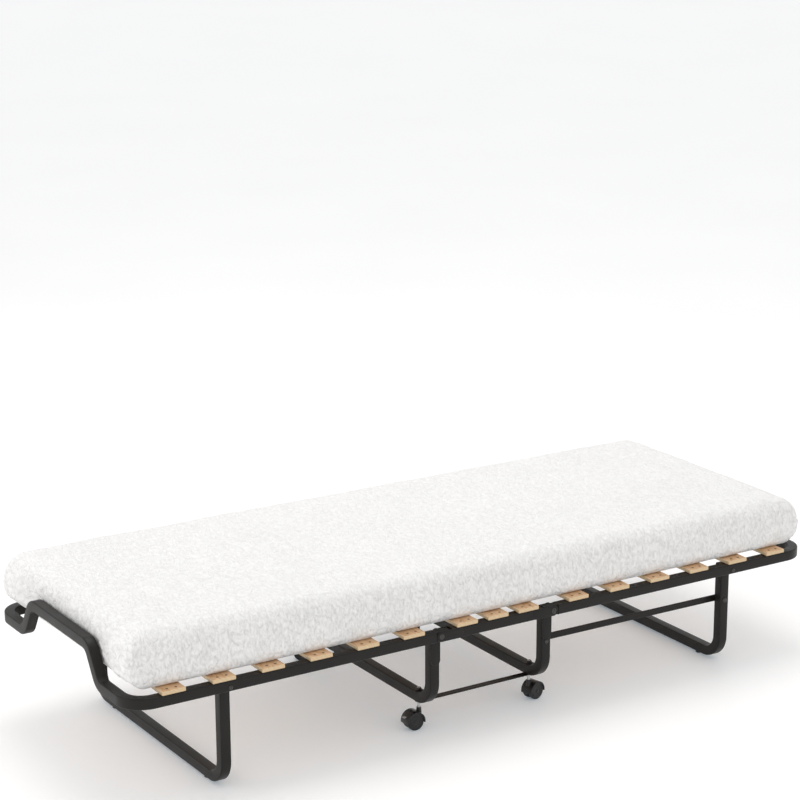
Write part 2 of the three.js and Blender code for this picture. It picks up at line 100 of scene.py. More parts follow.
# mattress
BED_BOTTOM = SLAT_TOP + GAP
BED_TOP = BED_BOTTOM + 140
BED_HALF_X, BED_HALF_Y = 1027, 376
BEND_LENGTH = 116  # between the two bend lines beside each fold
BEND_INNER = PIVOT_X - (BED_BOTTOM - PIVOT_Z) - BEND_LENGTH * math.sqrt(0.5)
BEND_MIDDLE = BEND_INNER + BEND_LENGTH / 2
BEND_FINISH = 300
SLIDE_FINISH = 900
GRID = 3.6


# ---- materials ----
def new_material(name):
    material = bpy.data.materials.new(name)
    material.use_nodes = True
    nodes = material.node_tree.nodes
    shader = nodes["Principled BSDF"]
    return material, nodes, material.node_tree.links, shader


def node(nodes, kind, **inputs):
    made = nodes.new(kind)
    for key, value in inputs.items():
        made.inputs[key.replace("_", " ")].default_value = value
    return made


def scaled(nodes, links, source, scale):
    mapping = nodes.new("ShaderNodeMapping")
    mapping.inputs["Scale"].default_value = scale
    links.new(source, mapping.inputs["Vector"])
    return mapping.outputs["Vector"]


def scaled_position(nodes, links, scale=(1, 1, 1)):
    """Object coordinates, in metres, times a scale for each axis."""
    return scaled(nodes, links, nodes.new("ShaderNodeTexCoord").outputs["Object"], scale)


def noise_value(nodes, links, place, **inputs):
    made = node(nodes, "ShaderNodeTexNoise", **inputs)
    links.new(place, made.inputs["Vector"])
    return made.outputs["Fac"]


def math_value(nodes, links, operation, first, second=None):
    """A Math node. The second input may be a number or another node's output."""
    made = nodes.new("ShaderNodeMath")
    made.operation = operation
    links.new(first, made.inputs[0])
    if isinstance(second, (int, float)):
        made.inputs[1].default_value = second
    elif second:
        links.new(second, made.inputs[1])
    return made.outputs[0]


def multiplied(nodes, links, first, second, factor=1.0):
    made = nodes.new("ShaderNodeMix")
    made.data_type = "RGBA"
    made.blend_type = "MULTIPLY"
    made.inputs["Factor"].default_value = factor
    links.new(first, made.inputs["A"])
    links.new(second, made.inputs["B"])
    return made.outputs["Result"]


def ramp(nodes, links, source, stops):
    made = nodes.new("ShaderNodeValToRGB")
    elements = made.color_ramp.elements
    while len(elements) < len(stops):
        elements.new(0.5)
    for element, (position, color) in zip(elements, stops):
        element.position = position
        element.color = (*color, 1)
    links.new(source, made.inputs["Fac"])
    return made.outputs["Color"]


def map_range(nodes, links, source, low, high, to_low, to_high):
    made = nodes.new("ShaderNodeMapRange")
    made.inputs["From Min"].default_value = low
    made.inputs["From Max"].default_value = high
    made.inputs["To Min"].default_value = to_low
    made.inputs["To Max"].default_value = to_high
    links.new(source, made.inputs["Value"])
    return made.outputs["Result"]


def bump(nodes, links, height, strength, distance, below=None):
    made = nodes.new("ShaderNodeBump")
    made.inputs["Strength"].default_value = strength
    made.inputs["Distance"].default_value = distance
    links.new(height, made.inputs["Height"])
    if below:
        links.new(below, made.inputs["Normal"])
    return made.outputs["Normal"]


def powder_coat():
    """Black powder coat: a fine orange peel with slightly uneven tone and gloss."""
    material, nodes, links, shader = new_material("black_powder_coat")
    place = scaled_position(nodes, links)
    peel = noise_value(nodes, links, place, Scale=420, Detail=3, Roughness=0.6)
    cloud = noise_value(nodes, links, place, Scale=9, Detail=4, Roughness=0.65)
    tone = ramp(nodes, links, cloud, [(0.3, (0.0068, 0.0058, 0.0050)), (0.7, (0.0108, 0.0094, 0.0082))])
    links.new(tone, shader.inputs["Base Color"])
    links.new(map_range(nodes, links, cloud, 0.3, 0.7, 0.36, 0.47), shader.inputs["Roughness"])
    links.new(bump(nodes, links, peel, 0.25, 0.0006), shader.inputs["Normal"])
    shader.inputs["Specular IOR Level"].default_value = 0.27
    return material


def plated(name, noise_inputs, tones, gloss, metallic, relief=None):
    """Metal with fine turning marks in its tone and gloss."""
    material, nodes, links, shader = new_material(name)
    scale, detail, roughness = noise_inputs
    place = scaled_position(nodes, links)
    grain = noise_value(nodes, links, place, Scale=scale, Detail=detail, Roughness=roughness)
    links.new(ramp(nodes, links, grain, tones), shader.inputs["Base Color"])
    links.new(map_range(nodes, links, grain, 0.3, 0.7, *gloss), shader.inputs["Roughness"])
    shader.inputs["Metallic"].default_value = metallic
    if relief:
        links.new(bump(nodes, links, grain, *relief), shader.inputs["Normal"])
    return material


def plastic(name, base, roughness):
    """Moulded plastic: a fine grain and faint flow marks."""
    material, nodes, links, shader = new_material(name)
    place = scaled_position(nodes, links)
    grain = noise_value(nodes, links, place, Scale=900, Detail=2, Roughness=0.5)
    flow = noise_value(nodes, links, place, Scale=45, Detail=3, Roughness=0.6)
    dark = tuple(0.8 * value for value in base)
    pale = tuple(1.3 * value for value in base)
    links.new(ramp(nodes, links, flow, [(0.3, dark), (0.7, pale)]), shader.inputs["Base Color"])
    gloss = map_range(nodes, links, flow, 0.3, 0.7, roughness - 0.05, roughness + 0.06)
    links.new(gloss, shader.inputs["Roughness"])
    links.new(bump(nodes, links, grain, 0.2, 0.0003), shader.inputs["Normal"])
    return material


def birch(name, offset):
    """Rotary-cut birch plywood: flame grain along the slat, pores, and plies on the edges."""
    material, nodes, links, shader = new_material(name)
    place = nodes.new("ShaderNodeTexCoord")
    shift = nodes.new("ShaderNodeMapping")
    shift.inputs["Location"].default_value = offset
    links.new(place.outputs["Object"], shift.inputs["Vector"])

    # growth rings are the level lines of a long smooth noise, each with a sharp dark edge
    long_place = scaled(nodes, links, shift.outputs["Vector"], (13, 2.7, 13))
    flame = noise_value(nodes, links, long_place, Scale=1.0, Detail=2, Roughness=0.35, Distortion=0.5)
    ring = math_value(nodes, links, "FRACT", math_value(nodes, links, "MULTIPLY", flame, 13))
    grain = ramp(nodes, links, ring, [
        (0.0, (0.765, 0.515, 0.305)), (0.6, (0.735, 0.48, 0.275)),
        (0.9, (0.615, 0.36, 0.18)), (1.0, (0.75, 0.495, 0.29)),
    ])
    fine_place = scaled(nodes, links, shift.outputs["Vector"], (420, 14, 420))
    pores = noise_value(nodes, links, fine_place, Scale=1.0, Detail=3, Roughness=0.7)
    streak = ramp(nodes, links, pores, [(0.34, (0.84, 0.79, 0.73)), (0.58, (1, 1, 1))])
    face_tone = multiplied(nodes, links, grain, streak, 0.75)

    # plies: alternate pale and darker layers by height
    height = nodes.new("ShaderNodeSeparateXYZ")
    links.new(place.outputs["Object"], height.inputs[0])
    turns = math_value(nodes, links, "MULTIPLY", height.outputs["Z"], 2 * math.pi / (2 * PLY * MM))
    layers = map_range(nodes, links, math_value(nodes, links, "SINE", turns), -1, 1, 0, 1)
    ply_tone = ramp(nodes, links, layers, [(0.35, (0.52, 0.33, 0.16)), (0.6, (0.82, 0.66, 0.43))])

    # the plies show where the board's own surface faces sideways
    facing = nodes.new("ShaderNodeSeparateXYZ")
    links.new(place.outputs["Normal"], facing.inputs[0])
    along, across = (math_value(nodes, links, "ABSOLUTE", facing.outputs[axis]) for axis in "XY")
    sideways = math_value(nodes, links, "MAXIMUM", along, across)
    tone = nodes.new("ShaderNodeMix")
    tone.data_type = "RGBA"
    links.new(map_range(nodes, links, sideways, 0.55, 0.8, 0, 1), tone.inputs["Factor"])
    links.new(face_tone, tone.inputs["A"])
    links.new(ply_tone, tone.inputs["B"])
    links.new(tone.outputs["Result"], shader.inputs["Base Color"])
    links.new(map_range(nodes, links, pores, 0.3, 0.7, 0.5, 0.4), shader.inputs["Roughness"])
    links.new(bump(nodes, links, pores, 0.18, 0.0004), shader.inputs["Normal"])
    shader.inputs["Coat Weight"].default_value = 0.12
    shader.inputs["Coat Roughness"].default_value = 0.25
    return material


def knit_cover():
    """White jacquard knit: the mesh carries deep squiggles; here are finer ones and the stitches. The colour
    holds painted shade: darker in the mesh's sunk lines, more on the sides than on top, and darker in the
    finer grooves.
    """
    material, nodes, links, shader = new_material("white_knit")
    sunk = nodes.new("ShaderNodeAttribute")
    sunk.attribute_name = "sunk_line"
    squiggle_place = scaled_position(nodes, links, (150, 60, 60))
    squiggle = noise_value(nodes, links, squiggle_place, Scale=1.0, Detail=1, Roughness=0.4, Distortion=0.9)
    off_line = math_value(nodes, links, "ABSOLUTE", math_value(nodes, links, "SUBTRACT", squiggle, 0.5))
    island = map_range(nodes, links, off_line, 0.0, 0.06, 0, 1)
    place = scaled_position(nodes, links)
    cloud = noise_value(nodes, links, place, Scale=6, Detail=3, Roughness=0.5)
    # painted shade: the white darkens along the sunk lines, as far as the sunk_line mask says
    base = ramp(nodes, links, sunk.outputs["Fac"], [(0.0, (0.89, 0.883, 0.873)), (1.0, (0.80, 0.79, 0.778))])
    patch = ramp(nodes, links, cloud, [(0.3, (0.98, 0.98, 0.98)), (0.7, (1, 1, 1))])
    # painted shade in the finer grooves between the raised islands
    groove_shade = ramp(nodes, links, island, [(0.0, (0.91, 0.905, 0.9)), (0.8, (1, 1, 1))])
    tone = multiplied(nodes, links, multiplied(nodes, links, base, patch), groove_shade)
    links.new(tone, shader.inputs["Base Color"])
    stitch = node(nodes, "ShaderNodeTexVoronoi", Scale=620)
    links.new(place, stitch.inputs["Vector"])
    stitches = bump(nodes, links, stitch.outputs["Distance"], 0.25, 0.0004)
    links.new(bump(nodes, links, island, 0.55, 0.0016, stitches), shader.inputs["Normal"])
    links.new(map_range(nodes, links, sunk.outputs["Fac"], 0, 1, 0.86, 0.95), shader.inputs["Roughness"])
    shader.inputs["Sheen Weight"].default_value = 0.15
    shader.inputs["Sheen Roughness"].default_value = 0.5
    return material


def floor_paint():
    """Pale paint. Its glow and its tint together keep the shade under the bed neutral."""
    material, nodes, links, shader = new_material("pale_floor")
    cloud = noise_value(nodes, links, scaled_position(nodes, links), Scale=1.2, Detail=2, Roughness=0.5)
    tone = ramp(nodes, links, cloud, [(0.3, (0.885, 0.843, 0.81)), (0.7, (0.905, 0.863, 0.83))])
    links.new(tone, shader.inputs["Base Color"])
    shader.inputs["Emission Color"].default_value = (0.7, 0.865, 1, 1)
    shader.inputs["Emission Strength"].default_value = 0.222
    shader.inputs["Roughness"].default_value = 0.55
    shader.inputs["Specular IOR Level"].default_value = 0.25
    return material


POWDER = powder_coat()
BLACK_ZINC = plated(
    "black_zinc", (260, 4, 0.7), [(0.3, (0.045, 0.043, 0.04)), (0.75, (0.11, 0.105, 0.1))],
    (0.25, 0.42), 0.85, (0.15, 0.0003))
ZINC = plated(
    "bright_zinc", (300, 3, 0.6), [(0.3, (0.42, 0.42, 0.43)), (0.7, (0.62, 0.62, 0.63))], (0.22, 0.36), 1.0)
NAIL = plated(
    "brown_nail", (500, 3, 0.6), [(0.3, (0.16, 0.09, 0.04)), (0.7, (0.27, 0.16, 0.075))], (0.35, 0.5), 0.4)
HOUSING = plastic("caster_plastic", (0.007, 0.007, 0.0068), 0.3)
TREAD = plastic("wheel_plastic", (0.008, 0.008, 0.008), 0.4)
PLUG = plastic("plug_plastic", (0.018, 0.018, 0.018), 0.5)
GREY = plastic("lever_plastic", (0.33, 0.33, 0.335), 0.42)
KNIT = knit_cover()
BIRCHES = [birch(f"birch_{i}", (0.37 * i, 0.83 * i, 0.21 * i)) for i in range(5)]


# ---- mesh helpers: points in millimetres, objects in metres at the origin ----
def finish_mesh(mesh, name, material, sharp_angle=35):
    mesh.materials.clear()
    mesh.materials.append(material)
    mesh.update()
    mesh.polygons.foreach_set("use_smooth", [True] * len(mesh.polygons))
    if sharp_angle:
        mesh.set_sharp_from_angle(angle=math.radians(sharp_angle))
    made = bpy.data.objects.new(name, mesh)
    bpy.context.scene.collection.objects.link(made)
    return made


def from_points(name, points, faces, material, sharp_angle=35):
    mesh = bpy.data.meshes.new(name)
    mesh.from_pydata([tuple(MM * value for value in point) for point in points], [], faces)
    return finish_mesh(mesh, name, material, sharp_angle)


def place(made, turn=0.0, at=(0, 0, 0)):
    """Turns a piece about Z and then moves it, in the mesh itself."""
    made.data.transform(Matrix.Translation(Vector(at) * MM) @ Matrix.Rotation(turn, 4, "Z"))
    return made


def bevelled(made, width, segments=3, angle=35):
    modifier = made.modifiers.new("bevel", "BEVEL")
    modifier.width = width * MM
    modifier.segments = segments
    modifier.limit_method = "ANGLE"
    modifier.angle_limit = math.radians(angle)
    modifier.harden_normals = True
    return made


def corner(x, y, z, radius=0):
    return (Vector((x, y, z)), radius)


def tube_path(corners):
    """Points and tangents along straight runs and arcs."""
    arc_step = math.radians(4.5)
    points = [corners[0][0]]
    tangents = [(corners[1][0] - corners[0][0]).normalized()]
    for before, (at, radius), after in zip(corners, corners[1:], corners[2:]):
        into = (at - before[0]).normalized()
        away = (after[0] - at).normalized()
        turn = into.angle(away)
        inward = (away - into * into.dot(away)).normalized()
        start = at - into * radius * math.tan(turn / 2)
        centre = start + inward * radius
        count = max(4, math.ceil(turn / arc_step))
        for k in range(count + 1):
            angle = turn * k / count
            points.append(centre - inward * radius * math.cos(angle) + into * radius * math.sin(angle))
            tangents.append(into * math.cos(angle) + inward * math.sin(angle))
    points.append(corners[-1][0])
    tangents.append((corners[-1][0] - corners[-2][0]).normalized())
    return points, tangents


def rounded_square(size, radius, segments=5):
    half = size / 2 - radius
    ring = []
    for quarter in range(4):
        angle = math.pi / 2 * quarter
        turned = Matrix.Rotation(angle, 2)
        for k in range(segments + 1):
            bend = math.pi / 2 * k / segments
            ring.append(turned @ Vector((half + radius * math.cos(bend), half + radius * math.sin(bend))))
    return ring


def ring_faces(first, last, count):
    """Quads between rings of count points, from ring number first to ring number last."""
    faces = []
    for i in range(first, last):
        low, high = i * count, (i + 1) * count
        for k in range(count):
            after = (k + 1) % count
            faces.append((low + k, low + after, high + after, high + k))
    return faces


def tube(name, corners, side_axis):
    """A square tube along a path. side_axis is a direction across the tube at its start."""
    points, tangents = tube_path(corners)
    ring = rounded_square(TUBE, TUBE_CORNER)
    across = Vector(side_axis).normalized()
    vertices = []
    frames = []
    for i, (point, tangent) in enumerate(zip(points, tangents)):
        if i:
            axis = tangents[i - 1].cross(tangent)
            if axis.length > 1e-9:
                across = Matrix.Rotation(tangents[i - 1].angle(tangent), 3, axis.normalized()) @ across
        other = tangent.cross(across)
        frames.append((point, tangent, across.copy(), other))
        vertices += [point + across * a + other * b for a, b in ring]
    count = len(ring)
    faces = ring_faces(0, len(points) - 1, count)
    inner = rounded_square(TUBE - 2 * TUBE_WALL, TUBE_CORNER - TUBE_WALL)
    for end, sign in ((0, 1), (-1, -1)):
        base = 0 if end == 0 else (len(points) - 1) * count
        outer_ring = [base + k for k in range(count)]
        point, tangent, across_here, other = frames[end]
        first = len(vertices)
        for depth in (0, BORE_DEPTH):
            centre = point + tangent * sign * depth
            vertices += [centre + across_here * a + other * b for a, b in inner]
        for k in range(count):
            after = (k + 1) % count
            rim = (outer_ring[k], first + k, first + after, outer_ring[after])
            bore = (first + k, first + count + k, first + count + after, first + after)
            if end == -1:
                rim = tuple(reversed(rim))
                bore = tuple(reversed(bore))
            faces += [rim, bore]
        floor_ring = [first + count + k for k in range(count)]
        faces.append(tuple(reversed(floor_ring)) if end == 0 else tuple(floor_ring))
    return from_points(name, vertices, faces, POWDER, 50)


def plate(name, outlines, thickness, material, bevel=0.5, normal="Y", level=0.0):
    """A flat plate with holes, drawn in X and Z (normal Y) or in X and Y (normal Z)."""
    curve = bpy.data.curves.new(name + "_outline", "CURVE")
    curve.dimensions = "2D"
    curve.fill_mode = "BOTH"
    curve.extrude = (thickness / 2 - bevel) * MM
    curve.bevel_depth = bevel * MM
    curve.bevel_resolution = 2
    curve.offset = -bevel * MM
    for outline in outlines:
        spline = curve.splines.new("POLY")
        spline.points.add(len(outline) - 1)
        for point, (a, b) in zip(spline.points, outline):
            point.co = (a * MM, b * MM, 0, 1)
        spline.use_cyclic_u = True
    holder = bpy.data.objects.new(name + "_outline", curve)
    bpy.context.scene.collection.objects.link(holder)
    bpy.context.view_layer.update()
    mesh = bpy.data.meshes.new_from_object(holder.evaluated_get(bpy.context.evaluated_depsgraph_get()))
    bpy.data.objects.remove(holder)
    bpy.data.curves.remove(curve)
    work = bmesh.new()
    work.from_mesh(mesh)
    bmesh.ops.remove_doubles(work, verts=work.verts, dist=1e-6)
    bmesh.ops.recalc_face_normals(work, faces=work.faces)
    work.to_mesh(mesh)
    work.free()
    if normal == "Y":
        mesh.transform(Matrix.Translation((0, level * MM, 0)) @ Matrix.Rotation(math.pi / 2, 4, "X"))
    else:
        mesh.transform(Matrix.Translation((0, 0, level * MM)))
    mesh.name = name
    return finish_mesh(mesh, name, material, 40)


def arc(centre, radius, start, finish, steps):
    return [
        (
            centre[0] + radius * math.cos(start + (finish - start) * k / steps),
            centre[1] + radius * math.sin(start + (finish - start) * k / steps),
        )
        for k in range(steps + 1)
    ]


def circle(centre, radius, steps=24):
    return arc(centre, radius, 0, 2 * math.pi, steps)[:-1]


def stadium(a, b, radius, steps=14):
    angle = math.atan2(b[1] - a[1], b[0] - a[0])
    first = arc(a, radius, angle + math.pi / 2, angle + math.pi * 1.5, steps)
    return first + arc(b, radius, angle - math.pi / 2, angle + math.pi / 2, steps)


def lathe(name, profile, material, axis="Y", at=(0, 0, 0), segments=40):
    """Revolves (radius, height) points, from axis to axis, about Y or Z."""
    vertices = []
    rings = []
    for radius, height in profile:
        if radius < 1e-6:
            rings.append([len(vertices)])
            vertices.append((0, 0, height))
            continue
        rings.append(list(range(len(vertices), len(vertices) + segments)))
        for k in range(segments):
            angle = 2 * math.pi * k / segments
            vertices.append((radius * math.cos(angle), radius * math.sin(angle), height))
    faces = []
    for low, high in zip(rings, rings[1:]):
        for k in range(segments):
            after = (k + 1) % segments
            quad = [low[k % len(low)], low[after % len(low)], high[after % len(high)], high[k % len(high)]]
            face = tuple(dict.fromkeys(quad))
            if len(face) > 2:
                faces.append(face)
    sharp_angle = 30
    made = from_points(name, vertices, faces, material, sharp_angle)
    turn = Matrix.Rotation(math.radians(-90), 4, "X") if axis == "Y" else Matrix.Identity(4)
    made.data.transform(Matrix.Translation(Vector(at) * MM) @ turn)
    work = bmesh.new()
    work.from_mesh(made.data)
    bmesh.ops.recalc_face_normals(work, faces=work.faces)
    work.to_mesh(made.data)
    work.free()
    made.data.set_sharp_from_angle(angle=math.radians(sharp_angle))
    return made


def joined(name, pieces):
    """One object from several, keeping their materials."""
    first = pieces[0]
    with bpy.context.temp_override(active_object=first, selected_editable_objects=pieces):
        bpy.ops.object.join()
    first.name = name
    first.data.name = name
    return first


def block(name, low, high, material, bevel=0.6, segments=3):
    x, y, z = zip(low, high)
    points = [(a, b, c) for a in x for b in y for c in z]
    faces = [(0, 1, 3, 2), (4, 6, 7, 5), (0, 4, 5, 1), (2, 3, 7, 6), (0, 2, 6, 4), (1, 5, 7, 3)]
    return bevelled(from_points(name, points, faces, material, 60), bevel, segments)


# ---- the pieces of one half, drawn at +X; the left half is the same turned half round ----
def bolt(name, x, z, radius, head_y, nut_y, head_radius):
    """A truss-head bolt along Y with a washer-faced lock nut."""
    depth = abs(head_y - nut_y)
    head = []
    for k in range(9):
        angle = math.pi / 2 * k / 8
        head.append((head_radius * math.sin(angle), 3 * math.cos(angle)))
    profile = [(0, 1.9), (2.1, 1.9), (2.4, 2.75)] + [point for point in head if point[0] > 2.6]
    profile += [(head_radius, 0), (radius, 0), (radius, -depth), (0, -depth)]
    nut_radius = head_radius * 0.9
    nut_end = -depth - 4.2
    collar_end = -depth - 5.0
    made = joined(name, [
        lathe(name + "_head", profile, BLACK_ZINC, segments=36),
        lathe(name + "_nut", [(0, -depth), (nut_radius, -depth), (nut_radius, nut_end), (0, nut_end)],
              BLACK_ZINC, segments=6),
        lathe(name + "_collar", [
            (0, nut_end), (nut_radius * 0.72, nut_end), (nut_radius * 0.66, collar_end), (0, collar_end),
        ], BLACK_ZINC, segments=30),
    ])
    if head_y < nut_y:
        made.data.transform(Matrix.Rotation(math.pi, 4, "Z"))
    made.data.transform(Matrix.Translation((x * MM, head_y * MM, z * MM)))
    return bevelled(made, 0.35, 2, 40)


def weld_bead(name, start, finish, out, count):
    """A short weld: overlapping flattened drops along a line, standing out from a corner."""
    work = bmesh.new()
    start, finish, out = Vector(start), Vector(finish), Vector(out).normalized()
    along = (finish - start).normalized()
    for k in range(count):
        at = start.lerp(finish, (k + 0.5) / count)
        length = (finish - start).length / count
        turn = Matrix((along, out, along.cross(out))).transposed().to_4x4()
        flattened = Matrix.Diagonal((length * 0.85 * MM, 1.5 * MM, 2.1 * MM, 1))
        shape = Matrix.Translation(at * MM) @ turn @ flattened
        bmesh.ops.create_icosphere(work, subdivisions=2, radius=1, matrix=shape)
    mesh = bpy.data.meshes.new(name)
    work.to_mesh(mesh)
    work.free()
    return finish_mesh(mesh, name, POWDER, 0)


def centre_rail(label):
    end_x = PIVOT_X - RAIL_CUT
    ends = [corner(-end_x, -RAIL_Y, PIVOT_Z), corner(end_x, -RAIL_Y, PIVOT_Z)]
    bar = tube(f"centre_rail_tube_{label}", ends, (0, 1, 0))
    plates = []
    for end in (-1, 1):
        outline = stadium((end * (end_x - 20), PIVOT_Z), (end * PIVOT_X, PIVOT_Z), HALF_TUBE - 0.05)
        hole = circle((end * PIVOT_X, PIVOT_Z), PIN_HOLE)
        levels = (-HALF_WIDTH + CHEEK / 2 - PROUD, -RAIL_INNER - CHEEK / 2 + PROUD)
        for number, y in enumerate(levels):
            where = f"{'right' if end > 0 else 'left'}_{number}"
            name = f"hinge_plate_{label}_{where}"
            plates.append(plate(name, [outline, hole], CHEEK, POWDER, 0.4, level=y))
    return bar, plates


def centre_leg(label):
    bar = tube(f"centre_leg_tube_{label}", [
        corner(PIVOT_X, -LEG_Y, CENTRE_LEG_TOP),
        corner(PIVOT_X, -LEG_Y, CENTRE_BAR_Z, LEG_BEND),
        corner(PIVOT_X, LEG_Y, CENTRE_BAR_Z, LEG_BEND),
        corner(PIVOT_X, LEG_Y, CENTRE_LEG_TOP),
    ], (1, 0, 0))
    extras = []
    for side in (-1, 1):
        where = "a" if side < 0 else "b"
        thick = RAIL_INNER - GAP - LEG_FACE
        level = side * (LEG_FACE + thick / 2)
        outline = stadium((PIVOT_X, CENTRE_LEG_TOP - 50), (PIVOT_X, PIVOT_Z), HALF_TUBE)
        hole = circle((PIVOT_X, PIVOT_Z), PIN_HOLE)
        extras.append(plate(f"leg_lug_{label}_{where}", [outline, hole], thick, POWDER, 0.8, level=level))
        plug = block(
            f"leg_plug_{label}_{where}",
            (PIVOT_X - PLUG_HALF, side * LEG_Y - PLUG_HALF, CENTRE_LEG_TOP - 6),
            (PIVOT_X + PLUG_HALF, side * LEG_Y + PLUG_HALF, CENTRE_LEG_TOP + 1.6), PLUG, 1.2)
        extras.append(plug)
        for edge in (-1, 1):
            weld_x, weld_y = PIVOT_X + edge * 12.0, side * (LEG_FACE + 0.4)
            extras.append(weld_bead(
                f"lug_weld_{label}_{where}_{'r' if edge > 0 else 'l'}",
                (weld_x, weld_y, CENTRE_LEG_TOP - 46), (weld_x, weld_y, CENTRE_LEG_TOP - 6),
                (edge, side * 0.3, 0), 9))
    return bar, extras


def leg_strap(label):
    ends = [(-PIVOT_X, -CASTER_Y), (PIVOT_X, -CASTER_Y)]
    outlines = [stadium(*ends, STRAP_WIDTH / 2)] + [circle(end, STEM_HOLE) for end in ends]
    return plate(f"leg_strap_{label}", outlines, STRAP_THICK, POWDER, 0.6, "Z", STRAP_TOP - STRAP_THICK / 2)


def section_frame(label):
    end = HALF_LENGTH - HALF_TUBE
    run = END_RISE / math.tan(RISE_ANGLE)
    foot = RISE_START - RISE_BEND * math.tan(RISE_ANGLE / 2)
    bar = tube(f"section_tube_{label}", [
        corner(SHOULDER, -RAIL_Y, PIVOT_Z),
        corner(end, -RAIL_Y, PIVOT_Z, FRAME_BEND),
        corner(end, -foot, PIVOT_Z, RISE_BEND),
        corner(end, -foot + run, PIVOT_Z + END_RISE, RISE_BEND),
        corner(end, foot - run, PIVOT_Z + END_RISE, RISE_BEND),
        corner(end, foot, PIVOT_Z, RISE_BEND),
        corner(end, RAIL_Y, PIVOT_Z, FRAME_BEND),
        corner(SHOULDER, RAIL_Y, PIVOT_Z),
    ], (0, 1, 0))
    tongues = []
    for side in (-1, 1):
        where = "a" if side < 0 else "b"
        width = TUBE - 2 * CHEEK - 1
        low = (PIVOT_X - 29, side * RAIL_Y - width / 2, PIVOT_Z - HALF_TUBE + 0.2)
        high = (SHOULDER + 30, side * RAIL_Y + width / 2, PIVOT_Z + HALF_TUBE - 0.2)
        tongues.append(block(f"fold_tongue_{label}_{where}", low, high, POWDER, 2.2, 4))
    return bar, tongues


def end_leg(label):
    bar = tube(f"end_leg_tube_{label}", [
        corner(SWING_X, -LEG_Y, SWING_Z + SWING_TOP),
        corner(SWING_X, -LEG_Y, END_BAR_Z, LEG_BEND),
        corner(SWING_X, LEG_Y, END_BAR_Z, LEG_BEND),
        corner(SWING_X, LEG_Y, SWING_Z + SWING_TOP),
    ], (1, 0, 0))
    plugs = []
    for side in (-1, 1):
        top = SWING_Z + SWING_TOP
        plugs.append(block(
            f"end_leg_plug_{label}_{'a' if side < 0 else 'b'}",
            (SWING_X - PLUG_HALF, side * LEG_Y - PLUG_HALF, top - 4),
            (SWING_X + PLUG_HALF, side * LEG_Y + PLUG_HALF, top + 1.8), PLUG, 1.4, 4))
    return bar, plugs


def tie_bar(label):
    start = (PIVOT_X, PIVOT_Z - LINK_DROP)
    finish = (SWING_X, SWING_Z - LINK_DROP)
    outer = stadium(start, (finish[0] + SLOT_LENGTH, finish[1]), LINK_HEIGHT / 2)
    lift = finish[1] + SLOT_SLACK
    slot = stadium((finish[0], lift), (finish[0] + SLOT_LENGTH, lift), TIE_HOLE + SLOT_SLACK, 10)
    level = -LINK_FACE + LINK_THICK / 2
    outlines = [outer, circle(start, TIE_HOLE), slot]
    return plate(f"tie_bar_{label}", outlines, LINK_THICK, POWDER, 0.7, level=level)


def glide(name, y):
    top = END_BAR_Z - HALF_TUBE - GAP
    profile = [(0, 0), (7.8, 0), (9.2, 0.35), (9.9, 1.2), (9.6, 2.4), (8.4, 4.2), (8.0, top), (0, top)]
    return lathe(name, profile, PLUG, "Z", (SWING_X, y, 0), 40)


def slat(name, x, material):
    """A slat with rounded edges and two nails over each rail, their rims sunk in the wood."""
    low = (x - SLAT_WIDTH / 2, -HALF_WIDTH, SLAT_BOTTOM)
    high = (x + SLAT_WIDTH / 2, HALF_WIDTH, SLAT_TOP)
    made = block(name, low, high, material, 1.6, 4)
    profile = [
        (0, 0.5), (1.1, 0.55), (1.3, 0.15), (2.2, 0.1), (2.9, 0.45),
        (3.3, 0.35), (3.6, 0), (3.4, -2), (0, -2),
    ]
    rivets = []
    for side in (-1, 1):
        for offset in (-NAIL_OFFSET, NAIL_OFFSET):
            number = len(rivets) + 1
            rivets.append(lathe(
                f"{name}_rivet_{number}", profile, NAIL, "Z",
                (x + offset, side * (RAIL_Y - 1), SLAT_TOP), 20))
    return made, rivets


